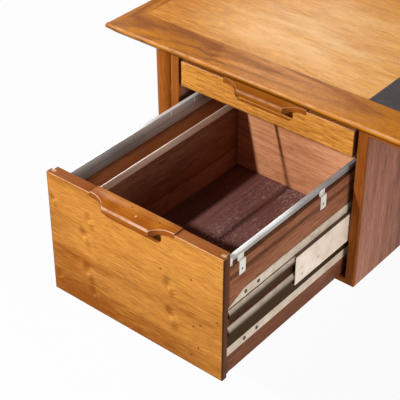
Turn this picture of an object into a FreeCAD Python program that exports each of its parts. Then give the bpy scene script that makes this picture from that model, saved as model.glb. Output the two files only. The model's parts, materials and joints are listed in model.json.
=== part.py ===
import FreeCAD, Part
import math
import os

import Sketcher

# A desk for two people who face each other: two pedestals hang between the top and four turned legs.
# The left pedestal opens to the front (-Y). The right one is the left one turned half round.
# Each has a shallow drawer on wooden runners and a file drawer on steel slides. The left file drawer is open.

# Driving sizes in millimetres
SIZES = {
    # desktop
    "top_length": 1980,
    "top_depth": 914,
    "desk_height": 737,
    "top_thickness": 28,
    "nose_height": 13,
    "nose_sweep": 5,
    "nose_bevel": 17,
    "band_width": 90,
    "end_width": 40,
    "leather_width": 746,
    "leather_thickness": 2,
    "top_overhang": 30,
    "end_overhang": 160,
    # pedestals
    "case_width": 498,
    "case_height": 388,
    "side_thickness": 22,
    "bottom_thickness": 14,
    "back_thickness": 12,
    "back_inset": 10,
    "lipping_depth": 8,
    "lipping_round": 3,
    "kneehole_rail_height": 12,
    "kneehole_rail_depth": 20,
    # legs
    "leg_from_end": 124,
    "leg_from_edge": 60,
    "leg_top_radius": 23,
    "leg_foot_radius": 13,
    "glide_radius": 11,
    "glide_height": 6,
    "spacer_radius": 11,
    "spacer_low_lift": 58,
    "spacer_high_lift": 283,
    # drawer fronts
    "front_side_gap": 7,
    "face_thickness": 13,
    "backing_thickness": 12,
    "backing_inset": 6,
    "face_round": 1,
    "gap_under_top": 12,
    "gap_between_fronts": 9.5,
    "upper_front_height": 59.5,
    "gap_under_fronts": 2,
    "drawer_open": 406,
    # carved pulls
    "pull_length": 210,
    "pull_rise": 3.5,
    "pull_seat": 8,
    "lip_length": 109,
    "lip_reach": 20,
    "lip_drop": 14.5,
    "lip_fall": 3.5,
    "lip_flat": 2,
    "lip_nose_round": 7,
    "lip_foot_round": 3,
    "ogee_run": 42,
    "lip_corner_share": 0.1,
    "scoop_radius": 14,
    "scoop_drop": 22.5,
    "scoop_out": 1,
    "face_scoop_length": 148,
    "pull_scoop_length": 190,
    # drawer boxes
    "board": 12,
    "bottom_board": 5,
    "file_depth": 600,
    "file_side_lift": 1,
    "file_side_drop": 37,
    "file_bottom_lift": 5,
    "upper_depth": 560,
    "upper_side_lift": 3.5,
    "upper_side_height": 49,
    "groove_depth": 6,
    "groove_height": 11,
    "groove_lift": 19,
    "runner_clearance": 0.4,
    "runner_start": 30,
    "runner_length": 530,
    # file drawer's fittings
    "bar_from_side": 79,
    "bar_thickness": 3,
    "foot_strip_thickness": 2.5,
    "foot_strip_height": 50,
    "hang_sheet": 1.5,
    "hang_reach": 8.5,
    "hang_above": 17,
    "hang_below": 19,
    "hang_lip": 10,
    "clip_sheet": 1.5,
    "clip_width": 18.5,
    "clip_drop": 30,
    "clip_riser": 13,
    "clip_hole": 5,
    "clip_hole_lift": 8,
    "clip_front_distance": 60.5,
    "clip_back_distance": 319,
    # file slides
    "slide_sheet": 1.5,
    "slide_start": 18,
    "slide_length": 540,
    "slide_slant": 49,
    "strip_height": 21,
    "slide_rail_height": 22.5,
    "slide_rail_reach": 5,
    "upper_slide_share": 0.551,
    "upper_slide_height": 45,
    "lower_slide_share": 0.186,
    "lower_slide_height": 72,
    "middle_start": 20,
    "middle_sheet": 2,
    "middle_lip_sheet": 1.5,
    "middle_stand_off": 8,
    "middle_lip_gap": 2.1,
    "middle_clearance": 0.5,
    "channel_start": 20,
    "channel_length": 560,
    "channel_sheet": 1.5,
    "channel_lip": 4,
    "channel_clearance": 0.7,
    "screw_radius": 4,
    "screw_height": 1,
    "screw_front_distance": 54,
    "screw_near_distance": 93,
    "screw_back_distance": 500,
}

doc = FreeCAD.newDocument("PartnersDesk")
sheet = doc.addObject("Spreadsheet::Sheet", "Sizes")
for row, (name, number) in enumerate(SIZES.items(), start=1):
    sheet.set(f"A{row}", name)
    sheet.set(f"B{row}", str(number))
    sheet.setAlias(f"B{row}", name)
doc.recompute()


class Size:
    """A length that holds both its value and the expression that gives it from the sheet."""

    def __init__(self, text, value):
        self.text = text
        self.value = value

    @staticmethod
    def of(other):
        return other if isinstance(other, Size) else Size(str(other), float(other))

    def __add__(self, other):
        other = Size.of(other)
        return Size(f"({self.text} + {other.text})", self.value + other.value)

    def __sub__(self, other):
        other = Size.of(other)
        return Size(f"({self.text} - {other.text})", self.value - other.value)

    def __mul__(self, other):
        other = Size.of(other)
        return Size(f"({self.text} * {other.text})", self.value * other.value)

    def __truediv__(self, other):
        other = Size.of(other)
        return Size(f"({self.text} / {other.text})", self.value / other.value)

    def __neg__(self):
        return Size(f"(0 - {self.text})", -self.value)


class Sheet:
    """The sheet's cells by name, each as a Size."""

    def __getattr__(self, alias):
        return Size(f"Sizes.{alias}", float(sheet.get(alias)))


s = Sheet()
ZERO = Size("0", 0.0)
UP = FreeCAD.Vector(0, 0, 1)
ALONG_X = FreeCAD.Rotation(FreeCAD.Vector(0, 1, 0), 90)
LEFT_BEND = 1
RIGHT_BEND = -1

# Levels and faces that many pieces share, seen from the left pedestal
half_length = s.top_length / 2
half_depth = s.top_depth / 2
under_top = s.desk_height - s.top_thickness
face = s.top_overhang - half_depth
case_left = s.end_overhang - half_length
case_right = case_left + s.case_width
case_middle = case_left + s.case_width / 2
case_half = s.case_width / 2 - s.side_thickness
case_low = under_top - s.case_height
upper_top = under_top - s.gap_under_top
upper_low = upper_top - s.upper_front_height
file_top = upper_low - s.gap_between_fronts
file_low = case_low + s.bottom_thickness + s.gap_under_fronts
file_front_height = file_top - file_low
file_side_height = file_front_height - s.file_side_lift - s.file_side_drop
upper_slide_low = file_low + file_side_height * s.upper_slide_share
lower_slide_low = file_low + file_side_height * s.lower_slide_share
front_width = s.case_width - (s.side_thickness + s.front_side_gap) * 2
front_depth = s.face_thickness + s.backing_thickness
box_half = front_width / 2 - s.backing_inset
inner_half = box_half - s.board

# The frame's origin lies under the middle of the whole, with the left file drawer open
frame_shift = (s.drawer_open + s.lip_reach - s.top_overhang) / 2

nodes = []


def bind(item, path, length):
    item.setExpression(path, length.text)


def place(item, x, y, z, turned=False, spin=None):
    """Put an item at a point of the left half, or at that point turned half round about the desk's middle."""
    if turned:
        x = -x
        y = -y
    rotation = FreeCAD.Rotation(UP, 180 if turned else 0)
    if spin is not None:
        rotation = rotation.multiply(spin)
    item.Placement = FreeCAD.Placement(FreeCAD.Vector(), rotation)
    bind(item, "Placement.Base.x", x)
    bind(item, "Placement.Base.y", y + frame_shift)
    bind(item, "Placement.Base.z", z)
    return item


def box(label, x, y, z, turned=False):
    """A board between pairs of limits."""
    item = doc.addObject("Part::Box", label)
    item.Label = label
    bind(item, "Length", x[1] - x[0])
    bind(item, "Width", y[1] - y[0])
    bind(item, "Height", z[1] - z[0])
    return place(item, x[0], y[0], z[0], turned)


def disc(label, radius, height, x, y, z, turned=False, spin=None):
    item = doc.addObject("Part::Cylinder", label)
    item.Label = label
    bind(item, "Radius", radius)
    bind(item, "Height", height)
    return place(item, x, y, z, turned, spin)


def cut(label, base, *tools):
    """The base less its tools."""
    result = base
    for number, tool in enumerate(tools):
        last = number == len(tools) - 1
        item = doc.addObject("Part::Cut", label if last else f"{label}_cut_{number}")
        item.Base = result
        item.Tool = tool
        result = item
    result.Label = label
    return result


def joined(kind, label, base, tool):
    """A fuse or a common of two shapes."""
    item = doc.addObject(kind, label)
    item.Label = label
    item.Base = base
    item.Tool = tool
    return item


def group(label, pieces):
    """Separate solids that share one node."""
    item = doc.addObject("Part::Compound", label)
    item.Label = label
    item.Links = pieces
    return node(item)


def node(item):
    nodes.append(item)
    return item


def arc(start, end, radius, bend):
    """The arc under a half circle from start to end that bends left or right, drawn anticlockwise."""
    chord = end - start
    across = FreeCAD.Vector(-chord.y, chord.x, 0).normalize()
    reach = math.sqrt(max(radius**2 - (chord.Length / 2) ** 2, 0))
    centre = (start + end) / 2 + across * (bend * reach)
    first, last = (start, end) if bend == LEFT_BEND else (end, start)
    angles = [math.atan2(p.y - centre.y, p.x - centre.x) for p in (first, last)]
    return Part.ArcOfCircle(Part.Circle(centre, UP, radius), *angles)


def outline(sketch, corners):
    """A closed outline. A corner is (across, up), or (across, up, radius, bend) where an arc leaves it."""
    points = [FreeCAD.Vector(corner[0].value, corner[1].value, 0) for corner in corners]
    ends = []
    for number, corner in enumerate(corners):
        start = points[number]
        end = points[(number + 1) % len(points)]
        if len(corner) == 2:
            edge = sketch.addGeometry(Part.LineSegment(start, end))
            ends.append((edge, 1, 2))
            continue
        radius, bend = corner[2:]
        edge = sketch.addGeometry(arc(start, end, radius.value, bend))
        ends.append((edge, 1, 2) if bend == LEFT_BEND else (edge, 2, 1))
        rule = sketch.addConstraint(Sketcher.Constraint("Radius", edge, radius.value))
        bind(sketch, f"Constraints[{rule}]", radius)
    for number, corner in enumerate(corners):
        edge, first, last = ends[number]
        following = ends[(number + 1) % len(ends)]
        sketch.addConstraint(Sketcher.Constraint("Coincident", edge, last, following[0], following[1]))
        for kind, length in (("DistanceX", corner[0]), ("DistanceY", corner[1])):
            rule = sketch.addConstraint(Sketcher.Constraint(kind, -1, 1, edge, first, length.value))
            bind(sketch, f"Constraints[{rule}]", length)


def drawn(label, plane, corners):
    """A body with one outline drawn on one of its planes."""
    body = doc.addObject("PartDesign::Body", label)
    body.Label = label
    sketch = body.newObject("Sketcher::SketchObject", f"{label}_outline")
    support = [item for item in body.Origin.OriginFeatures if item.Role == plane]
    sketch.AttachmentSupport = (support[0], [""])
    sketch.MapMode = "FlatFace"
    outline(sketch, corners)
    return body, sketch


def padded(label, plane, corners, length):
    """A body raised from an outline along the positive axis across its plane."""
    body, sketch = drawn(label, plane, corners)
    pad = body.newObject("PartDesign::Pad", f"{label}_pad")
    pad.Profile = sketch
    pad.Reversed = plane == "XZ_Plane"
    bind(pad, "Length", length)
    return body


def rounded(body, radius, chosen):
    """Round the edges of a body that a test chooses by their two ends."""
    doc.recompute()
    base = body.Tip
    names = []
    for number, edge in enumerate(base.Shape.Edges, start=1):
        if chosen(*[vertex.Point for vertex in edge.Vertexes]):
            names.append(f"Edge{number}")
    fillet = body.newObject("PartDesign::Fillet", f"{body.Label}_round")
    fillet.Base = (base, names)
    bind(fillet, "Radius", radius)
    return body


def mirrored(corners):
    """The same outline on the other side of the upright axis."""
    count = len(corners)
    result = []
    for number in range(count):
        corner = corners[count - 1 - number]
        leaving = corners[(count - 2 - number) % count]
        result.append((-corner[0], corner[1]) + tuple(leaving[2:]))
    return result


def bow_radius(chord, rise):
    """The radius of an arc from its chord and its rise over it."""
    return (chord * chord / 4 + rise * rise) / (rise * 2)


# Desktop


def edging(label, profile_plane, plan, length, width, turned):
    """One mitred edging: a rounded nose with a bevel under it, cut to its plan."""
    nose = bow_radius(s.nose_height, s.nose_sweep)
    profile = [
        (s.nose_sweep + s.nose_bevel, ZERO),
        (width, ZERO),
        (width, s.top_thickness),
        (s.nose_sweep, s.top_thickness, nose, LEFT_BEND),
        (s.nose_sweep, s.top_thickness - s.nose_height),
    ]
    bar = padded(f"{label}_bar", profile_plane, profile, length)
    mitre = padded(f"{label}_plan", "XY_Plane", plan, s.top_thickness)
    for item in (bar, mitre):
        place(item, -half_length, -half_depth, under_top, turned)
    return joined("Part::Common", label, bar, mitre)


def desktop():
    front_plan = [
        (ZERO, ZERO),
        (s.top_length, ZERO),
        (s.top_length - s.end_width, s.band_width),
        (s.end_width, s.band_width),
    ]
    end_plan = [
        (ZERO, ZERO),
        (s.end_width, s.band_width),
        (s.end_width, s.top_depth - s.band_width),
        (ZERO, s.top_depth),
    ]
    pieces = []
    for turned, long_name, short_name in ((False, "front", "left"), (True, "back", "right")):
        pieces.append(
            edging(f"{long_name}_edging", "YZ_Plane", front_plan, s.top_length, s.band_width, turned)
        )
        pieces.append(edging(f"{short_name}_edging", "XZ_Plane", end_plan, s.top_depth, s.end_width, turned))
    group("top_edging", pieces)

    field_x = half_length - s.end_width
    field_y = half_depth - s.band_width
    leather_x = (-s.leather_width / 2, s.leather_width / 2)
    leather_z = (s.desk_height - s.leather_thickness, s.desk_height)
    field = box("top_board", (-field_x, field_x), (-field_y, field_y), (under_top, s.desk_height))
    recess = box("leather_recess", leather_x, (-field_y, field_y), leather_z)
    node(cut("top_panel", field, recess))
    node(box("writing_leather", leather_x, (-field_y, field_y), leather_z))

    rails = []
    for turned, name in ((False, "front"), (True, "back")):
        rail_z = (under_top - s.kneehole_rail_height, under_top)
        rail_y = (face, face + s.kneehole_rail_depth)
        rails.append(box(f"{name}_rail", (case_right, -case_right), rail_y, rail_z, turned))
    group("kneehole_rails", rails)


# Legs


def legs():
    glides = []
    spacers = []
    leg_x = s.leg_from_end - half_length
    near = s.leg_from_edge - half_depth
    places = (
        ("front_left", near, False),
        ("back_left", -near, False),
        ("back_right", near, True),
        ("front_right", -near, True),
    )
    for name, leg_y, turned in places:
        leg = doc.addObject("Part::Cone", f"leg_{name}")
        leg.Label = f"leg_{name}"
        bind(leg, "Radius1", s.leg_foot_radius)
        bind(leg, "Radius2", s.leg_top_radius)
        bind(leg, "Height", under_top - s.glide_height)
        node(place(leg, leg_x, leg_y, s.glide_height, turned))
        glides.append(disc(f"glide_{name}", s.glide_radius, s.glide_height, leg_x, leg_y, ZERO, turned))
        for height_name, lift in (("low", s.spacer_low_lift), ("high", s.spacer_high_lift)):
            bar = disc(
                f"spacer_bar_{name}_{height_name}",
                s.spacer_radius,
                case_left - leg_x,
                leg_x,
                leg_y,
                case_low + lift,
                turned,
                ALONG_X,
            )
            spacers.append(cut(f"spacer_{name}_{height_name}", bar, leg))
    group("foot_glides", glides)
    group("leg_spacers", spacers)


# Pedestals


def lipping_set(label, left, turned):
    """The solid edges of one open end of a case: two stiles and a bottom edge, mitred together."""
    stile = [
        (ZERO, ZERO),
        (s.side_thickness, s.bottom_thickness),
        (s.side_thickness, s.case_height),
        (ZERO, s.case_height),
    ]
    foot = [
        (ZERO, ZERO),
        (s.case_width, ZERO),
        (s.case_width - s.side_thickness, s.bottom_thickness),
        (s.side_thickness, s.bottom_thickness),
    ]
    pieces = []
    for name, corners, start in (
        ("left_stile", stile, left),
        ("right_stile", mirrored(stile), left + s.case_width),
        ("foot", foot, left),
    ):
        piece = padded(f"{label}_{name}", "XZ_Plane", corners, s.lipping_depth)

        def front_arris(first, last):
            slope = abs(first.x - last.x) * abs(first.z - last.z)
            in_front = max(first.y, last.y) < s.lipping_round.value
            long = (last - first).Length > s.case_width.value / 2
            return in_front and long and slope < s.lipping_round.value

        rounded(piece, s.lipping_round, front_arris)
        pieces.append(place(piece, start, face, case_low, turned))
    return pieces


def pedestal(name, turned):
    """The boards of one case."""
    depth = (face + s.lipping_depth, -face - s.lipping_depth)
    height = (case_low, under_top)
    floor = case_low + s.bottom_thickness
    outer = (case_left, case_left + s.side_thickness)
    inner = (case_right - s.side_thickness, case_right)
    between = (outer[1], inner[0])
    back = (-face - s.back_inset - s.back_thickness, -face - s.back_inset)
    node(box(f"{name}_case_outer_side", outer, depth, height, turned))
    node(box(f"{name}_case_inner_side", inner, depth, height, turned))
    node(box(f"{name}_case_bottom", between, depth, (case_low, floor), turned))
    node(box(f"{name}_case_back", between, back, (floor, under_top), turned))


# Drawer fronts and carved pulls


def capsule(label, length, middle, y, z, turned):
    """The hollow that fingers take: a round-ended bar along X, turned about its own axis."""
    half = length / 2
    straight = half - s.scoop_radius
    corners = [
        (-half, ZERO, s.scoop_radius, RIGHT_BEND),
        (-straight, s.scoop_radius),
        (straight, s.scoop_radius, s.scoop_radius, RIGHT_BEND),
        (half, ZERO),
    ]
    body, sketch = drawn(label, "XY_Plane", corners)
    turning = body.newObject("PartDesign::Revolution", f"{label}_turning")
    turning.Profile = sketch
    turning.ReferenceAxis = (sketch, ["H_Axis"])
    turning.Angle = 360
    return place(body, middle, y, z, turned)


def front(label, y, low, height, turned):
    """A veneered front with rebated ends, a seat for its pull and a finger hollow."""
    half = front_width / 2
    plan = [
        (-half, ZERO),
        (half, ZERO),
        (half, s.face_thickness),
        (box_half, s.face_thickness),
        (box_half, front_depth),
        (-box_half, front_depth),
        (-box_half, s.face_thickness),
        (-half, s.face_thickness),
    ]
    board = padded(f"{label}_board", "XY_Plane", plan, height)

    def face_edge(first, last):
        return max(abs(first.y), abs(last.y)) < s.face_round.value

    rounded(board, s.face_round, face_edge)
    place(board, case_middle, y, low, turned)
    top = low + height
    seat_x = (case_middle - s.pull_length / 2, case_middle + s.pull_length / 2)
    seat = box(f"{label}_seat", seat_x, (y, y + front_depth), (top - s.pull_seat, top), turned)
    hollow = capsule(
        f"{label}_hollow", s.face_scoop_length, case_middle, y - s.scoop_out, top - s.scoop_drop, turned
    )
    return node(cut(label, board, seat, hollow))


def pull(label, y, top, turned):
    """A lip carved from a block: a plan swept back at each end meets a section and is hollowed below."""
    half = s.pull_length / 2
    lip = s.lip_length / 2
    bends = (s.ogee_run * s.ogee_run + s.lip_reach * s.lip_reach) / (s.lip_reach * 2)
    corner = bends * s.lip_corner_share
    sweep = bends - corner
    turn_x = lip + s.ogee_run * s.lip_corner_share
    end_x = lip + s.ogee_run
    turn_y = s.lip_reach * s.lip_corner_share - s.lip_reach
    plan = [
        (-half, front_depth),
        (-half, ZERO),
        (-end_x, ZERO, sweep, RIGHT_BEND),
        (-turn_x, turn_y, corner, LEFT_BEND),
        (-lip, -s.lip_reach),
        (lip, -s.lip_reach, corner, LEFT_BEND),
        (turn_x, turn_y, sweep, RIGHT_BEND),
        (end_x, ZERO),
        (half, ZERO),
        (half, front_depth),
    ]
    nose_top = s.pull_rise - s.lip_fall
    section = [
        (front_depth, -s.pull_seat),
        (front_depth, s.pull_rise),
        (s.lip_flat, s.pull_rise),
        (s.lip_nose_round - s.lip_reach, nose_top, s.lip_nose_round, LEFT_BEND),
        (-s.lip_reach, nose_top - s.lip_nose_round),
        (-s.lip_reach, s.lip_foot_round - s.lip_drop, s.lip_foot_round, LEFT_BEND),
        (s.lip_foot_round - s.lip_reach, -s.lip_drop),
        (ZERO, -s.lip_drop),
        (ZERO, -s.pull_seat),
    ]
    block = padded(f"{label}_plan", "XY_Plane", plan, s.lip_drop + s.pull_rise)
    place(block, case_middle, y, top - s.lip_drop, turned)
    bar = padded(f"{label}_section", "YZ_Plane", section, s.pull_length)
    place(bar, case_middle - half, y, top, turned)
    shaped = joined("Part::Common", f"{label}_block", block, bar)
    hollow = capsule(
        f"{label}_hollow", s.pull_scoop_length, case_middle, y - s.scoop_out, top - s.scoop_drop, turned
    )
    return node(cut(label, shaped, hollow))


# Shallow drawers


def upper_drawer(name, turned):
    """A shallow drawer whose grooved sides ride on wooden runners. Returns its two runners."""
    front(f"{name}_upper_front", face, upper_low, s.upper_front_height, turned)
    pull(f"{name}_upper_pull", face, upper_top, turned)
    low = upper_low + s.upper_side_lift
    high = low + s.upper_side_height
    start = face + front_depth
    end = face + s.upper_depth
    groove_z = (low + s.groove_lift, low + s.groove_lift + s.groove_height)
    runner_z = (groove_z[0] + s.runner_clearance, groove_z[1] - s.runner_clearance)
    runner_y = (face + s.runner_start, face + s.runner_start + s.runner_length)
    sides = []
    runners = []
    for hand, sign in (("left", -1), ("right", 1)):
        limits = sorted((box_half * sign, inner_half * sign), key=lambda length: length.value)
        groove_end = box_half - s.groove_depth
        groove = sorted((box_half * sign, groove_end * sign), key=lambda length: length.value)
        bite = groove_end + s.runner_clearance
        runner = sorted((case_half * sign, bite * sign), key=lambda length: length.value)
        side_x = (case_middle + limits[0], case_middle + limits[1])
        groove_x = (case_middle + groove[0], case_middle + groove[1])
        runner_x = (case_middle + runner[0], case_middle + runner[1])
        board = box(f"{name}_upper_{hand}_board", side_x, (start, end), (low, high), turned)
        slot = box(f"{name}_upper_{hand}_groove", groove_x, (start, end), groove_z, turned)
        sides.append(cut(f"{name}_upper_{hand}_side", board, slot))
        runners.append(box(f"{name}_{hand}_runner", runner_x, runner_y, runner_z, turned))
    group(f"{name}_upper_sides", sides)
    between = (case_middle - inner_half, case_middle + inner_half)
    floor = low + s.bottom_board
    node(box(f"{name}_upper_bottom", between, (start, end), (low, floor), turned))
    node(box(f"{name}_upper_back", between, (end - s.board, end), (floor, high), turned))
    return runners


# File drawers


def c_section(tip, back, wall, flange, low, high):
    """A channel in section that opens towards its tip."""
    return [
        (tip, low),
        (back, low),
        (back, high),
        (tip, high),
        (tip, high - flange),
        (back - wall, high - flange),
        (back - wall, low + flange),
        (tip, low + flange),
    ]


def both_hands(label, corners, length, y, turned):
    """A bar along Y at the right of a drawer, and its mirror image at the left."""
    pieces = []
    for hand, shape in (("right", corners), ("left", mirrored(corners))):
        bar = padded(f"{label}_{hand}", "XZ_Plane", shape, length)
        pieces.append(place(bar, case_middle, y, ZERO, turned))
    return pieces


def slide_rails(name, y, turned):
    """Two flanged rails on each side of the drawer, and the screws that hold them."""
    start = s.slide_start
    end = s.slide_start + s.slide_length
    rails = []
    screws = []
    for level, low, height, slant, bow_lift, strip_lift in (
        ("upper", upper_slide_low, s.upper_slide_height, s.slide_slant, ZERO,
         s.upper_slide_height - s.strip_height),
        ("lower", lower_slide_low, s.lower_slide_height, ZERO,
         s.lower_slide_height - s.slide_rail_height, ZERO),
    ):
        # the upper strip's front end slopes down to the rail
        web = [(start, ZERO), (end, ZERO), (end, height), (start + slant, height)]
        if slant is not ZERO:
            web.append((start, strip_lift))
        bow_low = low + bow_lift
        bow = [
            (box_half + s.slide_sheet, bow_low,
             bow_radius(s.slide_rail_height, s.slide_rail_reach), LEFT_BEND),
            (box_half + s.slide_sheet, bow_low + s.slide_rail_height),
        ]
        bows = both_hands(f"{name}_{level}_bow", bow, s.slide_length, y + start, turned)
        for hand, rail, web_x, head_x in (
            ("right", bows[0], box_half, box_half + s.slide_sheet),
            ("left", bows[1], -box_half - s.slide_sheet, -box_half - s.slide_sheet - s.screw_height),
        ):
            plate = padded(f"{name}_{level}_{hand}_web", "YZ_Plane", web, s.slide_sheet)
            place(plate, case_middle + web_x, y, low, turned)
            rails.append(joined("Part::Fuse", f"{name}_{level}_{hand}_slide", plate, rail))
            head_z = low + strip_lift + s.strip_height / 2
            spots = (s.screw_front_distance, s.screw_near_distance, s.screw_back_distance)
            for number, spot in enumerate(spots, start=1):
                screw = disc(
                    f"{name}_{level}_{hand}_screw_{number}",
                    s.screw_radius,
                    s.screw_height,
                    case_middle + head_x,
                    y + start + spot,
                    head_z,
                    turned,
                    ALONG_X,
                )
                screws.append(screw)
    group(f"{name}_file_slide_rails", rails)
    group(f"{name}_file_slide_screws", screws)


def hanging_rails(name, y, side_top, end, turned):
    """Bright rails that the folders hang from, and the clips that hold them to the sides."""
    leg = inner_half - s.hang_sheet
    outer = leg + s.hang_reach
    top = side_top + s.hang_above
    hook = [
        (leg, side_top - s.hang_below),
        (inner_half, side_top - s.hang_below),
        (inner_half, top - s.hang_sheet),
        (outer - s.hang_sheet, top - s.hang_sheet),
        (outer - s.hang_sheet, top - s.hang_lip),
        (outer, top - s.hang_lip),
        (outer, top),
        (leg, top),
    ]
    length = end - s.board - front_depth
    group(
        f"{name}_file_hanging_rails",
        both_hands(f"{name}_hanging_rail", hook, length, y + front_depth, turned),
    )

    strap = [
        (box_half, side_top - s.clip_drop),
        (box_half + s.clip_sheet, side_top - s.clip_drop),
        (box_half + s.clip_sheet, side_top + s.clip_sheet),
        (outer + s.clip_sheet, side_top + s.clip_sheet),
        (outer + s.clip_sheet, side_top + s.clip_riser),
        (outer, side_top + s.clip_riser),
        (outer, side_top),
        (box_half, side_top),
    ]
    hole_z = side_top - s.clip_drop + s.clip_hole_lift
    clips = []
    for number, spot in enumerate((s.clip_front_distance, s.clip_back_distance), start=1):
        strap_y = y + spot - s.clip_width / 2
        straps = both_hands(f"{name}_strap_{number}", strap, s.clip_width, strap_y, turned)
        for hand, piece, hole_x in (
            ("right", straps[0], (box_half, box_half + s.clip_sheet)),
            ("left", straps[1], (-box_half - s.clip_sheet, -box_half)),
        ):
            hole = box(
                f"{name}_clip_hole_{number}_{hand}",
                (case_middle + hole_x[0], case_middle + hole_x[1]),
                (y + spot - s.clip_hole / 2, y + spot + s.clip_hole / 2),
                (hole_z, hole_z + s.clip_hole),
                turned,
            )
            clips.append(cut(f"{name}_clip_{number}_{hand}", piece, hole))
    group(f"{name}_file_rail_clips", clips)


def folder_bar(name, y, floor, side_top, turned):
    """A flat bar on edge for narrower folders, and the strips along the feet of the sides."""
    middle = case_middle - inner_half + s.bar_from_side
    bar_x = (middle - s.bar_thickness / 2, middle + s.bar_thickness / 2)
    bar_z = (side_top, side_top + s.hang_above)
    node(box(f"{name}_file_folder_bar", bar_x, (y + front_depth, y + s.file_depth), bar_z, turned))
    depth = (y + front_depth, y + s.file_depth - s.board)
    strips = []
    for hand, left in (("left", -inner_half), ("right", inner_half - s.foot_strip_thickness)):
        strip_x = (case_middle + left, case_middle + left + s.foot_strip_thickness)
        strip_z = (floor, floor + s.foot_strip_height)
        strips.append(box(f"{name}_{hand}_foot_strip", strip_x, depth, strip_z, turned))
    group(f"{name}_file_foot_strips", strips)


def file_drawer(name, opened, turned):
    """A file drawer, its rails and its slides. Returns the channels that its case carries."""
    y = face - opened
    front(f"{name}_file_front", y, file_low, file_front_height, turned)
    pull(f"{name}_file_pull", y, file_top, turned)
    low = file_low + s.file_side_lift
    side_top = low + file_side_height
    floor = low + s.file_bottom_lift + s.bottom_board
    depth = (y + front_depth, y + s.file_depth)
    between = (case_middle - inner_half, case_middle + inner_half)
    left_x = (case_middle - box_half, between[0])
    right_x = (between[1], case_middle + box_half)
    node(box(f"{name}_file_left_side", left_x, depth, (low, side_top), turned))
    node(box(f"{name}_file_right_side", right_x, depth, (low, side_top), turned))
    node(box(f"{name}_file_bottom", between, depth, (floor - s.bottom_board, floor), turned))
    node(box(f"{name}_file_back", between, (depth[1] - s.board, depth[1]), (floor, side_top), turned))
    folder_bar(name, y, floor, side_top, turned)
    hanging_rails(name, y, side_top, s.file_depth, turned)
    slide_rails(name, y, turned)

    # the middle plates hook round the drawer's rails and travel half as far as the drawer
    rail_low = lower_slide_low + s.lower_slide_height - s.slide_rail_height
    rail_high = upper_slide_low + s.slide_rail_height
    low = rail_low - s.middle_clearance - s.middle_lip_sheet
    high = rail_high + s.middle_clearance + s.middle_lip_sheet
    tip = box_half + s.middle_lip_gap
    back = box_half + s.middle_stand_off + s.middle_sheet
    plate = c_section(tip, back, s.middle_sheet, s.middle_lip_sheet, low, high)
    middle_y = face - opened / 2 + s.middle_start
    group(
        f"{name}_file_middle_slides",
        both_hands(f"{name}_middle", plate, s.slide_length, middle_y, turned),
    )
    channel = c_section(
        case_half - s.channel_sheet - s.channel_lip,
        case_half,
        s.channel_sheet,
        s.channel_sheet,
        low - s.channel_clearance - s.channel_sheet,
        high + s.channel_clearance + s.channel_sheet,
    )
    return both_hands(f"{name}_channel", channel, s.channel_length, face + s.channel_start, turned)


desktop()
legs()
lippings = []
runners = []
channels = []
for name, opened, turned in (("left", s.drawer_open, False), ("right", ZERO, True)):
    pedestal(name, turned)
    lippings += lipping_set(f"{name}_open_end", case_left, turned)
    lippings += lipping_set(f"{name}_closed_end", -case_right, not turned)
    runners += upper_drawer(name, turned)
    channels += file_drawer(name, opened, turned)
group("case_lipping", lippings)
group("drawer_runners", runners)
group("case_slide_channels", channels)

doc.recompute()
failed = [item.Label for item in doc.Objects if "Invalid" in item.State or "Error" in item.State]
failed += [item.Label for item in nodes if item.Shape.isNull() or not item.Shape.isValid()]
if failed:
    raise RuntimeError(f"these pieces failed: {failed}")

os.makedirs("parts", exist_ok=True)
for item in nodes:
    item.Shape.exportStep(f"parts/{item.Label}.step")
print(len(nodes), "nodes written")
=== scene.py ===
import json
import math

import bmesh
import bpy
from mathutils import Matrix, Vector


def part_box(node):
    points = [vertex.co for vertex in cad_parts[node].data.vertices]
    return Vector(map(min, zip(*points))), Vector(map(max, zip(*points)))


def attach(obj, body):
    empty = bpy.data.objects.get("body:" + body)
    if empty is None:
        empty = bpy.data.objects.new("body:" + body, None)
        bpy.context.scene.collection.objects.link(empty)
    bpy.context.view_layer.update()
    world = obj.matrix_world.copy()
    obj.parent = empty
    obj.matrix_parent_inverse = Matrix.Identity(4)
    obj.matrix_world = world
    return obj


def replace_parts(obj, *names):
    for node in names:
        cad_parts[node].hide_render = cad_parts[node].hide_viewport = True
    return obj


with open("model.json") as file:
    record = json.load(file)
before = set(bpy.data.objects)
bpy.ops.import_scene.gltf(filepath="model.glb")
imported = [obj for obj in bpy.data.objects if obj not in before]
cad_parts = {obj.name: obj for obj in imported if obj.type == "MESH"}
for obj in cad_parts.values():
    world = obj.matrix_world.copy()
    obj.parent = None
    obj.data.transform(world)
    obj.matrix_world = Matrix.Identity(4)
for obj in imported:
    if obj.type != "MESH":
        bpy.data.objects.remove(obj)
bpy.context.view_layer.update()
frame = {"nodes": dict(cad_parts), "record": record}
nodes = frame["nodes"]
body_of = {node: body for body, members in frame["record"]["behaviour"]["bodies"].items() for node in members}
MM = 0.001
AXES = "XYZ"
# The way along Y that each pedestal's drawers open
AHEAD = {"left": -1, "right": 1}


# Material building

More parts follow.
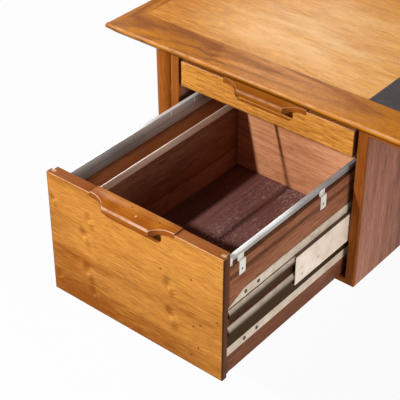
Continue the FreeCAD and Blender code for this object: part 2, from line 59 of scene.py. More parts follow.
class Nodes:
    """A node tree, with short ways to add and link nodes."""

    def __init__(self, tree):
        self.tree = tree

    def put(self, socket, value):
        if isinstance(value, bpy.types.NodeSocket):
            self.tree.links.new(value, socket)
        else:
            socket.default_value = value

    def add(self, kind, inputs=None, **settings):
        node = self.tree.nodes.new("ShaderNode" + kind)
        for name, value in settings.items():
            setattr(node, name, value)
        for key, value in (inputs or {}).items():
            self.put(node.inputs[key], value)
        return node

    def math(self, operation, *values):
        return self.add("Math", dict(enumerate(values)), operation=operation).outputs[0]

    def plus(self, first, second):
        return self.math("ADD", first, second)

    def minus(self, first, second):
        return self.math("SUBTRACT", first, second)

    def times(self, first, second):
        return self.math("MULTIPLY", first, second)

    def most(self, first, second):
        return self.math("MAXIMUM", first, second)

    def absolute(self, value):
        return self.math("ABSOLUTE", value)

    def where(self):
        return self.add("TexCoord").outputs["Object"]

    def axes(self, vector):
        return self.add("SeparateXYZ", {0: vector}).outputs

    def facing(self, axis, normal="Normal"):
        """How far a surface faces along an axis, from -1 to 1."""
        return self.axes(self.add("NewGeometry").outputs[normal])[AXES.index(axis)]

    def scaled(self, vector, scale, offset=(0, 0, 0)):
        inputs = {0: vector, 1: scale, 2: offset}
        return self.add("VectorMath", inputs, operation="MULTIPLY_ADD").outputs[0]

    def noise(self, vector, scale=1.0, detail=2.0, rough=0.5, distortion=0.0):
        inputs = {"Vector": vector, "Scale": scale, "Detail": detail, "Roughness": rough, "Distortion": distortion}
        return self.add("TexNoise", inputs).outputs["Fac"]

    def span(self, value, low, high, first=0.0, last=1.0, smooth=False):
        """Maps low..high to first..last and holds it outside."""
        inputs = {"Value": value, "From Min": low, "From Max": high, "To Min": first, "To Max": last}
        kind = "SMOOTHSTEP" if smooth else "LINEAR"
        return self.add("MapRange", inputs, interpolation_type=kind, clamp=True).outputs["Result"]

    def mix(self, factor, first, second):
        return self.add("Mix", {0: factor, 6: first, 7: second}, data_type="RGBA").outputs[2]


class Paint(Nodes):
    """A material's node tree, built round its Principled shader."""

    def __init__(self, name, **constants):
        self.material = bpy.data.materials.new(name)
        self.material.use_nodes = True
        super().__init__(self.material.node_tree)
        self.shader = self.tree.nodes["Principled BSDF"]
        for socket, value in constants.items():
            self.set(socket.replace("_", " "), value)

    def set(self, socket, value):
        self.put(self.shader.inputs[socket], value)

    def bump(self, height, strength, distance):
        node = self.add("Bump", {"Height": height, "Strength": strength, "Distance": distance})
        self.set("Normal", node.outputs[0])


def blob(paint, place, centre, size):
    """1 at a centre, falling to 0 at a distance of size along each axis. A size past the piece makes a band."""
    scale = [1 / part for part in size]
    offset = [-spot / part for spot, part in zip(centre, size)]
    away = paint.scaled(place, scale, offset)
    length = paint.add("VectorMath", {0: away}, operation="LENGTH").outputs["Value"]
    return paint.span(length, 0.0, 1.0, 1.0, 0.0, smooth=True)


def between(paint, value, low, high, blur):
    """1 from low to high, with blurred ends."""
    rise = paint.span(value, low - blur, low + blur)
    return paint.times(rise, paint.span(value, high - blur, high + blur, 1.0, 0.0))


def near_line(paint, coordinate, level, width):
    """1 within half a width of a level along one axis."""
    off = paint.absolute(paint.minus(coordinate, level))
    return paint.span(off, width * 0.3, width * 0.6, 1.0, 0.0)


# A burl's pale eye, two dark flames and a pale flank: shares of its size across and up, reach and tone
BURL_MARKS = ((0.0, 0.0, 0.42, 0.42), (-0.3, 0.9, 0.9, -0.36), (0.45, -0.75, 0.8, -0.3), (0.7, 0.35, 0.7, 0.16))


def burled(paint, place, burls, rise):
    """Grain along X that dips along another axis at small burls, and the burls' tone."""
    tone = 0.0

    def on_axes(across, up, other):
        return [across if axis == "X" else up if axis == rise else other for axis in AXES]

    for centre, size in burls:
        for across, up, reach, amount in BURL_MARKS:
            spot = [part + step for part, step in zip(centre, on_axes(across * size, up * size, 0.0))]
            mark = blob(paint, place, spot, on_axes(reach * size, 1.3 * reach * size, 1.0))
            tone = paint.plus(tone, paint.times(mark, amount))
        dip = blob(paint, place, centre, on_axes(1.3 * size, 2.0 * size, 1.0))
        place = paint.scaled(dip, on_axes(0.0, 0.5 * size, 0.0), place)
    return place, tone


# Pale arris colour, part rubbed wear and part painted highlight; painted sheen on the desktop; waxed wood without
# veneer on a front's top
RUBBED_HIGHLIGHT = (0.86, 0.58, 0.40)
PAINTED_SHEEN = (0.93, 0.57, 0.26)
WAXED = (0.21, 0.037, 0.002)
# How far the grain sways to a side
SWAY = 4.0 * MM


def wood(
    name, grain, light, dark, deep, seed=(0.0, 0.0, 0.0), figure=1.2, band=0.5, rings=0.0, lines=10.0,
    streak=1.1, dash=(14.0, 380.0), fleck=0.3, flecks=(60.0, 700.0), spread=1.0, burls=(), rise="Z", clouds=(),
    pale=(), spots=(), rough=0.4, gloss=0.04, ends=0.0, tops=0.0, worn_and_highlit=None, seam=None, choose=None,
):
    """Lacquered wood: slow figure, bands, growth rings, fine streaks and dark flecks along a swaying grain.

    Clouds darken it, or lighten it below 0. Pale clouds paint sheen into it, and spots are painted over it. Ends
    and tops are the shares of another colour on end grain and on tops. Arris wear gives the share of pale wood on
    arrises, part rubbed wear and part painted highlight, the height where it starts and how far upward those faces
    look; faces that look down get painted shade there. Seam draws dark lines: joints, and painted shade on drawer
    sides. Choose gives a second grain and where it runs.
    """
    paint = Paint(name, Specular_IOR_Level=gloss)
    place = paint.where()
    inner, eyes = burled(paint, place, burls, rise)

    def board(grain):
        """A board's colour, lightness and pores, with its grain along one axis."""

        def along(vector, scale, across, shift=0.0):
            scales = [scale if axis == grain else across for axis in AXES]
            return paint.scaled(vector, scales, [part + shift for part in seed])

        def swing(value, centre, amount):
            return paint.times(paint.minus(value, centre), amount)

        bends = paint.noise(along(place, 9.0, 14.0), detail=2.0)
        bent = paint.scaled(bends, [0.0 if axis == grain else SWAY for axis in AXES], inner)
        slow = paint.noise(along(bent, 1.6, 9.0 * spread), detail=2.0)
        bands = paint.noise(along(bent, 3.0, 70.0 * spread, 3.7), detail=1.5)
        streaks = paint.noise(along(bent, *dash), detail=1.5, rough=0.6)
        fine = paint.noise(along(bent, 30.0, 1000.0, 1.9), detail=1.0)
        pores = paint.span(paint.noise(along(bent, *flecks), detail=1.0), 0.56, 0.68)
        value = paint.plus(swing(slow, 0.5, figure), 0.55)
        for tone, amount in ((bands, band), (streaks, streak), (fine, streak)):
            value = paint.plus(value, swing(tone, 0.5, amount))
        if rings:
            field = paint.noise(along(bent, 0.8, 5.5 * spread, 7.3), detail=1.2, rough=0.4)
            wave = paint.math("SINE", paint.times(field, lines * math.tau))
            ring = paint.math("POWER", paint.span(wave, -1.0, 1.0), 2.0)
            value = paint.minus(value, swing(ring, 0.3, rings))
        value = paint.plus(value, eyes)
        for centre, size, amount in clouds:
            value = paint.minus(value, paint.times(blob(paint, place, centre, size), amount))
        value = paint.span(value, 0.0, 1.0)
        colour = paint.mix(value, (*dark, 1), (*light, 1))
        colour = paint.mix(paint.times(pores, fleck), colour, (*deep, 1))
        return colour, value, pores

    colour, value, pores = board(grain)
    if choose is not None:
        second_grain, chosen = choose
        second, _, _ = board(second_grain)
        colour = paint.mix(chosen(paint, paint.axes(place)), colour, second)
    # Painted sheen: pale clouds, broken along the grain, mixed toward a pale sheen colour
    if pale:
        sheen_veil = 0.0
        for centre, size, amount in pale:
            sheen_veil = paint.plus(sheen_veil, paint.times(blob(paint, place, centre, size), amount))
        patches = paint.scaled(place, [7.0 if axis == grain else 34.0 for axis in AXES], seed)
        broken = paint.span(paint.noise(patches, detail=5.0, rough=0.65), 0.32, 0.66, 0.1, 1.0)
        colour = paint.mix(paint.times(sheen_veil, broken), colour, (*PAINTED_SHEEN, 1))
    if ends:
        end = paint.span(paint.absolute(paint.facing(grain)), 0.35, 0.8, 0.0, ends)
        colour = paint.mix(end, colour, (*deep, 1))
    if tops:
        colour = paint.mix(paint.span(paint.facing("Z"), 0.8, 0.95, 0.0, tops), colour, (*WAXED, 1))
    for centre, size, shade, amount in spots:
        colour = paint.mix(paint.times(blob(paint, place, centre, size), amount), colour, (*shade, 1))
    if worn_and_highlit is not None:
        amount, level, limit = worn_and_highlit
        # Pale arrises above a height: part rubbed wear, part painted highlight
        upward = paint.facing("Z", "True Normal")
        arris_highlight = between(paint, upward, 0.30, limit, 0.05)
        arris_highlight = paint.times(arris_highlight, paint.span(paint.axes(place)[2], level - MM, level + MM, 0.0, amount))
        arris_highlight = paint.times(arris_highlight, paint.span(paint.noise(place, 45.0, 3.0), 0.3, 0.6, 0.35, 1.0))
        colour = paint.mix(arris_highlight, colour, (*RUBBED_HIGHLIGHT, 1))
        # Faces that look down are darkened: painted shade
        colour = paint.mix(paint.span(upward, -0.2, -0.6, 0.0, 0.7), colour, (*deep, 1))
    if seam is not None:
        line = seam(paint, paint.axes(place))
        colour = paint.mix(paint.times(line, 0.75), colour, (*deep, 1))
    paint.set("Base Color", colour)
    paint.set("Roughness", paint.span(value, 0.0, 1.0, rough + 0.08, rough - 0.04))
    paint.bump(paint.minus(paint.times(value, 0.4), pores), 0.1, 0.0004)
    return paint.material


# Woods of the desktop

field_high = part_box("top_panel")[1]
desk_low, desk_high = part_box("top_edging")
desk_y = (desk_low.y + desk_high.y) / 2
FIELD_JOINT = 2.4 * MM


def past_field(paint, axes):
    """How far into the end edging and into the long edging a place is, as shares of their widths."""
    across = paint.minus(paint.absolute(axes[0]), field_high.x)
    along = paint.minus(paint.absolute(paint.minus(axes[1], desk_y)), field_high.y - desk_y)
    across = paint.math("DIVIDE", across, desk_high.x - field_high.x)
    return across, paint.math("DIVIDE", along, desk_high.y - field_high.y)


def on_end_piece(paint, axes):
    """1 on the two short edgings, up to their mitres."""
    across, along = past_field(paint, axes)
    return paint.span(paint.minus(across, along), -0.004, 0.004)


def mitre_line(paint, axes):
    """The joints at the edging's corners."""
    across, along = past_field(paint, axes)
    return paint.span(paint.absolute(paint.minus(across, along)), 0.006, 0.014, 0.7, 0.0)


def field_line(paint, axes):
    """The joint round the field."""
    across = paint.absolute(axes[0])
    along = paint.absolute(paint.minus(axes[1], desk_y))
    first = near_line(paint, across, field_high.x, FIELD_JOINT)
    second = near_line(paint, along, field_high.y - desk_y, FIELD_JOINT)
    return paint.times(paint.most(first, second), 0.6)


def on_top(from_left, from_front, length, width, amount):
    """A cloud in the desktop's grain, in millimetres from its left front corner, and its twin across the desk."""
    left = desk_low.x + from_left * MM
    front = desk_low.y + from_front * MM
    size = (length * MM, width * MM, 1.0)
    twin = (-left, 2 * desk_y - front, desk_high.z)
    return [((left, front, desk_high.z), size, amount), (twin, size, amount)]


EDGE_CLOUDS = (
    on_top(160, 66, 190, 24, 0.42) + on_top(255, 52, 44, 44, 0.3) + on_top(120, 22, 120, 20, -0.3)
    + on_top(330, 48, 90, 36, -0.3) + on_top(420, 66, 200, 14, 0.3) + on_top(560, 30, 160, 20, -0.2)
    + on_top(30, 60, 60, 50, 0.15))
EDGE_BURLS = [(centre, 26 * MM) for centre, _, _ in on_top(262, 50, 1, 1, 1)]
FIELD_CLOUDS = on_top(70, 190, 170, 170, 0.3) + on_top(230, 96, 300, 40, 0.2) + on_top(470, 540, 260, 190, 0.3)
# Pale patches on the desktop's field: painted sheen
FIELD_SHEEN = (
    on_top(290, 200, 250, 180, 0.6) + on_top(420, 330, 300, 200, 0.55) + on_top(560, 180, 260, 170, 0.55))
field_wood = wood(
    "field_veneer", "X", (0.84, 0.375, 0.046), (0.46, 0.138, 0.004), (0.17, 0.050, 0.004), seed=(1.2, 4.0, 0.4),
    figure=0.7, band=0.35, streak=1.4, dash=(24.0, 240.0), fleck=0.4, flecks=(90.0, 600.0), clouds=FIELD_CLOUDS,
    pale=FIELD_SHEEN, rough=0.30, gloss=0.03, seam=field_line)
edge_wood = wood(
    "edging_wood", "X", (0.59, 0.206, 0.010), (0.26, 0.067, 0.001), (0.09, 0.022, 0.004), seed=(3.1, 0.7, 2.0),
    figure=0.7, band=0.6, rings=0.5, lines=16.0, streak=1.3, dash=(20.0, 480.0), fleck=0.4, flecks=(90.0, 620.0),
    burls=EDGE_BURLS, rise="Y", clouds=EDGE_CLOUDS, worn_and_highlit=(0.35, desk_high.z - 20 * MM, 0.86), rough=0.26,
    gloss=0.02, choose=("Y", on_end_piece), seam=mitre_line)

# Woods of the drawer fronts and pulls

FRONT_LIGHT = (0.76, 0.340, 0.066)
# The upper fronts' paler light tone is painted light, making up for the desktop's shade over them
UPPER_LIGHT = (0.96, 0.430, 0.084)
FRONT_DARK = (0.28, 0.076, 0.006)
FRONT_DEEP = (0.085, 0.030, 0.014)
# Black beside a front's face at its ends: the veneer's dark edge and painted shade
EDGE_SHADE_BLACK = (0.022, 0.012, 0.008)
PALE_SPECK = (0.85, 0.62, 0.42)
SPECK = 3.2 * MM
PULL_MARK = 3.0 * MM
PULL_JOINT = 1.6 * MM
# The soft inner border of a front's dark rim, from its edge
RIM = (1.6 * MM, 2.6 * MM)
VENEER_EDGE = (2.6 * MM, 4.6 * MM, 10.0)


def on_front(node, across, up):
    """A place at shares of a drawer front's width and height."""
    low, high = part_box(node)
    return (low.x + (high.x - low.x) * across, (low.y + high.y) / 2, low.z + (high.z - low.z) * up)


def burl_set(node, spots):
    """Burls on a front: shares across and up, and their size in millimetres."""
    return [(on_front(node, across, up), size * MM) for across, up, size in spots]


def cloud_set(node, spots):
    """Clouds on a front: shares across and up, their length and height in millimetres and their strength."""
    result = []
    for across, up, long, tall, amount in spots:
        result.append((on_front(node, across, up), (long * MM, 1.0, tall * MM), amount))
    return result


def speck_set(node, spots):
    """Small dark specks in a front's veneer, at shares across and up."""
    return [(on_front(node, across, up), (SPECK, 1.0, SPECK), FRONT_DEEP, 1.5) for across, up in spots]


# Pale wear on a front's top corners: millimetres from its end, share from its face to its back, and size
CORNER_WEAR = ((9, 0.45, 9), (3, 0.75, 6))


def end_marks(node, ahead):
    """A front's black end strips, its veneer's dark edge and painted shade, and pale wear on its top's corners."""
    low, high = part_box(node)
    face, back = (low.y, high.y) if ahead < 0 else (high.y, low.y)
    marks = []
    for end, inward in ((low.x, 1), (high.x, -1)):
        marks.append(((end, face, (low.z + high.z) / 2), VENEER_EDGE, EDGE_SHADE_BLACK, 1.6))
        for inset, share, size in CORNER_WEAR:
            corner = (end + inward * inset * MM, face + (back - face) * share, high.z)
            marks.append((corner, (size * MM, 0.7 * size * MM, 3 * MM), PALE_SPECK, 0.7))
    return marks


def off_middle(paint, axes, low, high):
    """How far a place is from the middle of a box along X."""
    return paint.absolute(paint.minus(axes[0], (low.x + high.x) / 2))


def rim(node):
    """The dark rim of a front's veneer at its ends and its foot."""
    low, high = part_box(node)
    half = (high.x - low.x) / 2

    def seam(paint, axes):
        sides = paint.span(off_middle(paint, axes, low, high), half - RIM[1], half - RIM[0])
        foot = paint.span(axes[2], low.z + RIM[0], low.z + RIM[1], 1.0, 0.0)
        return paint.times(paint.most(sides, foot), 0.75)

    return seam


def pull_seam(node):
    """The joint lines where a pull's block ends in its front, fading on top where hands wear it."""
    low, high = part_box(node)

    def seam(paint, axes):
        line = near_line(paint, off_middle(paint, axes, low, high), (high.x - low.x) / 2, PULL_JOINT)
        return paint.times(line, paint.span(paint.facing("Z"), 0.5, 0.95, 0.8, 0.2))

    return seam


LEFT_BURLS = (
    (0.03, 0.78, 11), (0.25, 0.755, 14), (0.215, 0.60, 17), (0.225, 0.295, 18), (0.255, 0.125, 14),
    (0.035, 0.12, 11), (0.705, 0.555, 17), (0.715, 0.305, 20))
RIGHT_BURLS = ((0.28, 0.70, 16), (0.31, 0.34, 18), (0.76, 0.55, 17), (0.72, 0.20, 15))
LEFT_CLOUDS = (
    (0.06, 0.36, 110, 46, 0.34), (0.28, 0.40, 190, 22, 0.3), (0.45, 0.62, 60, 14, 0.2),
    (0.12, 0.08, 200, 80, 0.46), (0.55, 0.02, 280, 70, 0.44), (0.58, 0.16, 200, 18, 0.2),
    (0.80, 0.42, 150, 16, 0.14), (0.02, 0.60, 70, 60, 0.2), (0.60, 0.82, 200, 14, 0.12),
    (0.40, 0.985, 400, 14, 0.2))
RIGHT_CLOUDS = (
    (0.94, 0.36, 110, 46, 0.34), (0.55, 0.40, 200, 24, 0.26), (0.40, 0.04, 280, 44, 0.34),
    (0.40, 0.985, 400, 14, 0.2))
LEFT_SPECKS = ((0.66, 0.68), (0.83, 0.09), (0.87, 0.18), (0.84, 0.34), (0.88, 0.38), (0.83, 0.72), (0.97, 0.48))
VENEERS = {
    "left_file": dict(seed=(0.3, 0.0, 1.7), burls=LEFT_BURLS, clouds=LEFT_CLOUDS, specks=LEFT_SPECKS),
    "right_file": dict(seed=(2.6, 0.0, 4.1), burls=RIGHT_BURLS, clouds=RIGHT_CLOUDS, specks=()),
    "left_upper": dict(seed=(5.0, 0.0, 0.9), burls=(), clouds=(), specks=()),
    "right_upper": dict(seed=(7.7, 0.0, 3.3), burls=(), clouds=(), specks=()),
}
LEVELS = {
    # Upper fronts take the paler UPPER_LIGHT tone: painted light
    "upper": dict(light=UPPER_LIGHT, streak=1.0, fleck=0.4),
    "file": dict(light=FRONT_LIGHT, streak=0.75, fleck=0.3),
}
fronts = {}
for drawer, look in VENEERS.items():
    side, level = drawer.split("_")
    name = f"{drawer}_front"
    fronts[name] = wood(
        f"{drawer}_veneer", "X", dark=FRONT_DARK, deep=FRONT_DEEP, seed=look["seed"], figure=0.8, band=0.3,
        dash=(24.0, 300.0), flecks=(60.0, 520.0), burls=burl_set(name, look["burls"]),
        clouds=cloud_set(name, look["clouds"]),
        spots=speck_set(name, look["specks"]) + end_marks(name, AHEAD[side]), ends=0.9, tops=0.75,
        worn_and_highlit=(0.9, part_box(name)[1].z - 5 * MM, 0.95), gloss=0.02, seam=rim(name), **LEVELS[level])

PULL_CLOUDS = (
    (0.04, 0.9, 40, 40, 0.5), (0.30, 0.9, 26, 40, 0.3), (0.66, 0.9, 30, 40, 0.35), (0.97, 0.9, 34, 40, 0.5))
# Nail marks on a file drawer's pull: shares across and from its back to its nose
PULL_MARKS = ((0.46, 0.25, FRONT_DEEP), (0.57, 0.62, PALE_SPECK), (0.80, 0.35, FRONT_DEEP))
# The rubbed share is each pull's pale arris: part wear, part painted highlight
PULLS = {
    # The upper pulls' darker light tone is painted shade from the desktop over them
    "upper": dict(light=(0.40, 0.135, 0.014), lift=0.4, rubbed=0.25, marks=()),
    "file": dict(light=(0.52, 0.182, 0.018), lift=1.9, rubbed=0.6, marks=PULL_MARKS),
}
pulls = {}
for side, shift in (("left", 0.0), ("right", 3.7)):
    for level, look in PULLS.items():
        name = f"{side}_{level}_pull"
        low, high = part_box(name)
        marks = []
        for across, out, shade in look["marks"]:
            spot = (low.x + (high.x - low.x) * across, high.y + (low.y - high.y) * out, high.z)
            marks.append((spot, (PULL_MARK, PULL_MARK, PULL_MARK), shade, 1.5))
        pulls[name] = wood(
            f"{name}_wood", "X", look["light"], (0.30, 0.076, 0.007), (0.075, 0.022, 0.009),
            seed=(shift + look["lift"], 1.1, 2.0), figure=2.0, band=1.1, rings=0.3, lines=9.0, streak=1.2,
            fleck=0.2, clouds=cloud_set(name, PULL_CLOUDS), spots=marks, rough=0.26, gloss=0.02, ends=0.85,
            worn_and_highlit=(look["rubbed"], low.z, 0.86), seam=pull_seam(name))

# Woods of the legs, cases and drawer boxes

leg_wood = wood(
    "leg_wood", "Z", (0.48, 0.150, 0.020), (0.26, 0.062, 0.007), (0.08, 0.020, 0.004), seed=(0.2, 0.9, 0.1),
    figure=1.3, band=0.7, rings=0.15, streak=0.9, fleck=0.25)
# Painted light and shade: the pedestals' outer lippings are paler, and the inner ones, by the kneehole, darker
LIPPING_LIGHT_AND_SHADE = ((-0.806, -0.25), (-0.356, 0.35), (0.356, 0.35), (0.806, -0.25))
LIPPING_LIGHT_SHADE_CLOUDS = [((x, 0.0, 0.0), (0.08, 5.0, 5.0), amount) for x, amount in LIPPING_LIGHT_AND_SHADE]
lipping_wood = wood(
    "lipping_wood", "Z", (0.39, 0.116, 0.018), (0.19, 0.045, 0.007), (0.07, 0.018, 0.005), seed=(1.4, 2.9, 0.6),
    figure=1.3, band=0.7, rings=0.15, streak=0.9, fleck=0.25, clouds=LIPPING_LIGHT_SHADE_CLOUDS)
rail_wood = wood(
    "rail_wood", "X", (0.40, 0.125, 0.022), (0.22, 0.056, 0.009), (0.08, 0.020, 0.005), seed=(4.4, 2.1, 0.6),
    figure=1.3, band=0.7, rings=0.15, streak=0.9, fleck=0.25)
case_wood = wood(
    "case_veneer", "Z", (0.52, 0.235, 0.152), (0.22, 0.085, 0.054), (0.06, 0.020, 0.013), seed=(2.2, 0.8, 5.0),
    figure=1.0, band=0.9, rings=0.2, lines=8.0, streak=1.3, fleck=0.35)
back_wood = wood(
    "case_back_veneer", "X", (0.44, 0.170, 0.05), (0.22, 0.07, 0.020), (0.07, 0.02, 0.009), seed=(6.2, 1.8, 2.5),
    figure=1.4, band=0.9, rings=0.25, streak=1.2, fleck=0.35)
# Painted light and shade on the drawer backs: darker on the left, paler on the right
BACK_LIGHT_AND_SHADE = cloud_set("left_file_back", ((0.3, 0.55, 170, 220, 0.3), (0.85, 0.6, 170, 200, -0.45)))
cross_wood = wood(
    "drawer_back_wood", "X", (0.98, 0.470, 0.236), (0.52, 0.196, 0.082), (0.13, 0.042, 0.022),
    seed=(3.3, 0.2, 0.5), figure=1.1, band=0.5, rings=0.2, lines=13.0, streak=1.1, fleck=0.3, spread=1.3, rough=0.5,
    clouds=BACK_LIGHT_AND_SHADE)

# Heights of the slides' flat strip, bows and whole rails, as in the CAD
STRIP = 21.0 * MM
BOW = 22.5 * MM
UPPER_SLIDE = 45.0 * MM
LOWER_SLIDE = 72.0 * MM
rails_low, rails_high = (corner.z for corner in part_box("left_file_slide_rails"))
hang_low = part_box("left_file_hanging_rails")[0].z
side_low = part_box("left_file_right_side")[0].z
# The middle of a pedestal from the desk's middle, and half the width of a file drawer's box
PEDESTAL = 581.0 * MM
BOX_HALF = 214.0 * MM


def slide_shade(paint, axes):
    """Painted shade outside a drawer's side between its two slide rails, and a painted shadow under its hanging
    rail.
    """
    high = between(paint, axes[2], rails_low + LOWER_SLIDE - BOW, rails_high - BOW, 1.5 * MM)
    off = paint.absolute(paint.minus(paint.absolute(axes[0]), PEDESTAL))
    under = between(paint, axes[2], hang_low - 9 * MM, hang_low + 2 * MM, 2.5 * MM)
    dark = paint.most(paint.times(high, 1.3), paint.times(under, 0.8))
    return paint.times(dark, paint.span(off, BOX_HALF - 4 * MM, BOX_HALF - 2 * MM))


BOX = dict(
    light=(0.42, 0.172, 0.088), dark=(0.16, 0.054, 0.025), deep=(0.045, 0.016, 0.006), seed=(0.7, 3.0, 1.4),
    figure=1.4, band=0.6, rings=0.16, lines=12.0, streak=1.3, fleck=0.35, rough=0.46)
# Painted shade: drawer sides darken towards their foot
FOOT_SHADE = [((0.0, 0.0, side_low), (20.0, 20.0, 1.6 * (rails_low - side_low)), 0.6)]
# A painted shadow on a drawer's side under its hanging rail
RAIL_SHADOW = [((0.0, 0.0, hang_low - 3 * MM), (20.0, 20.0, 16 * MM), 0.5)]
# Painted light: a warm reddish band on the far side below that shadow
WARM_LIGHT_BAND = [((0.0, 0.0, hang_low - 32 * MM), (20.0, 20.0, 36 * MM), (0.40, 0.105, 0.018), 0.55)]
side_wood = wood("drawer_side_wood", "Y", **BOX)
strip_wood = wood(
    "foot_strip_wood", "Y", (0.46, 0.195, 0.120), (0.22, 0.080, 0.048), (0.09, 0.03, 0.02), seed=(5.7, 1.0, 2.4),
    band=0.8, streak=1.2)
slide_side_wood = wood("drawer_slide_side_wood", "Y", seam=slide_shade, clouds=FOOT_SHADE, **BOX)
far_side_wood = wood(
    "drawer_far_side_wood", "Y", seam=slide_shade, clouds=FOOT_SHADE + RAIL_SHADOW, spots=WARM_LIGHT_BAND, **BOX)


# Leather, boards and metals

def hardboard():
    """Dark drawer bottoms with rubbed streaks, settled dust and crumbs."""
    paint = Paint("drawer_bottom", Specular_IOR_Level=0.12)
    place = paint.where()
    tone = paint.noise(paint.scaled(place, (9.0, 2.5, 9.0)), detail=3.0)
    streaks = paint.noise(paint.scaled(place, (260.0, 7.0, 9.0)), detail=3.0, rough=0.6)
    colour = paint.mix(paint.span(tone, 0.3, 0.7), (0.105, 0.037, 0.032, 1), (0.20, 0.078, 0.064, 1))
    colour = paint.mix(paint.span(streaks, 0.4, 0.7, 0.0, 0.6), colour, (0.27, 0.115, 0.095, 1))
    patch = paint.noise(paint.scaled(place, (9.0, 5.0, 1.0), (2.0, 5.0, 0.0)), detail=3.0, rough=0.6)
    crumbs = paint.noise(paint.scaled(place, (200.0, 90.0, 90.0)), detail=2.0, rough=0.7)
    motes = paint.span(paint.noise(place, 380.0, 1.0), 0.62, 0.70)
    dust = paint.most(paint.times(paint.span(crumbs, 0.54, 0.66), 0.5), motes)
    dust = paint.times(dust, paint.span(patch, 0.42, 0.62, 0.1, 1.0))
    outward = paint.plus(paint.absolute(paint.axes(place)[0]), paint.times(patch, 0.12))
    dust = paint.times(dust, paint.span(outward, PEDESTAL + 0.13, PEDESTAL + 0.19, 1.0, 0.1))
    paint.set("Base Color", paint.mix(dust, colour, (0.62, 0.48, 0.44, 1)))
    paint.set("Roughness", paint.span(dust, 0.0, 0.6, 0.5, 0.85))
    paint.bump(paint.plus(streaks, dust), 0.15, 0.0003)
    return paint.material


def leather():
    """Worn black leather: pebbled grain, fine creases and paler scuffs."""
    paint = Paint("leather", Specular_IOR_Level=0.12)
    place = paint.where()
    cells = paint.add("TexVoronoi", {"Vector": place, "Scale": 520.0}, feature="DISTANCE_TO_EDGE")
    creases = paint.span(cells.outputs["Distance"], 0.0, 0.12, 1.0, 0.0)
    pebble = paint.noise(place, 300.0, 3.0, 0.6)
    tone = paint.noise(place, 9.0, 4.0)
    colour = paint.mix(paint.span(tone, 0.3, 0.7), (0.031, 0.024, 0.025, 1), (0.048, 0.037, 0.037, 1))
    scuff = paint.span(paint.noise(place, 120.0, 4.0, 0.7), 0.54, 0.76, 0.0, 0.6)
    paint.set("Base Color", paint.mix(scuff, colour, (0.17, 0.135, 0.115, 1)))
    paint.set("Roughness", paint.span(pebble, 0.3, 0.7, 0.5, 0.7))
    paint.bump(paint.minus(pebble, creases), 0.6, 0.0007)
    return paint.material


def bright_steel():
    """Rolled bright steel: fine lines and slow dark clouds of painted reflection.

    Flanks get painted shade, and the outer rails' tops a painted highlight.
    """
    paint = Paint("bright_steel", Metallic=0.3, Specular_IOR_Level=0.1)
    place = paint.where()
    lines = paint.noise(paint.scaled(place, (260.0, 1.0, 260.0)), detail=0.0)
    cloud = paint.noise(paint.scaled(place, (4.0, 6.5, 4.0), (0.0, 0.6, 0.0)), detail=1.0)
    cloud = paint.span(cloud, 0.42, 0.66)
    colour = paint.mix(paint.span(lines, 0.3, 0.7), (0.54, 0.53, 0.51, 1), (0.72, 0.71, 0.69, 1))
    # Dark clouds: painted reflection
    colour = paint.mix(paint.times(cloud, 0.75), colour, (0.20, 0.185, 0.18, 1))
    # Painted shade on the flanks
    shaded_flanks = paint.span(paint.absolute(paint.facing("Z")), 0.3, 0.8, 0.3, 0.0)
    colour = paint.mix(shaded_flanks, colour, (0.23, 0.18, 0.15, 1))
    # Painted highlight on the outer rails' tops
    outer = paint.span(paint.absolute(paint.axes(place)[0]), PEDESTAL - MM, PEDESTAL + MM)
    crown_highlight = paint.times(outer, paint.span(paint.facing("Z"), 0.94, 0.99, 0.0, 0.7))
    paint.set("Base Color", paint.mix(crown_highlight, colour, (0.92, 0.91, 0.89, 1)))
    paint.set("Roughness", paint.span(cloud, 0.0, 1.0, 0.42, 0.52))
    return paint.material


def folder_steel():
    """The folder bar: a dull brownish face with a painted highlight on its top."""
    paint = Paint("folder_steel", Metallic=0.2, Specular_IOR_Level=0.06)
    tone = paint.noise(paint.scaled(paint.where(), (30.0, 6.0, 30.0)), detail=3.0)
    colour = paint.mix(paint.span(tone, 0.3, 0.7), (0.40, 0.245, 0.18, 1), (0.60, 0.41, 0.315, 1))
    # Painted highlight on faces that look up
    bright = paint.span(paint.facing("Z"), 0.3, 0.8, 0.0, 0.4)
    paint.set("Base Color", paint.mix(bright, colour, (0.78, 0.76, 0.73, 1)))
    paint.set("Roughness", paint.span(tone, 0.3, 0.7, 0.42, 0.55))
    return paint.material


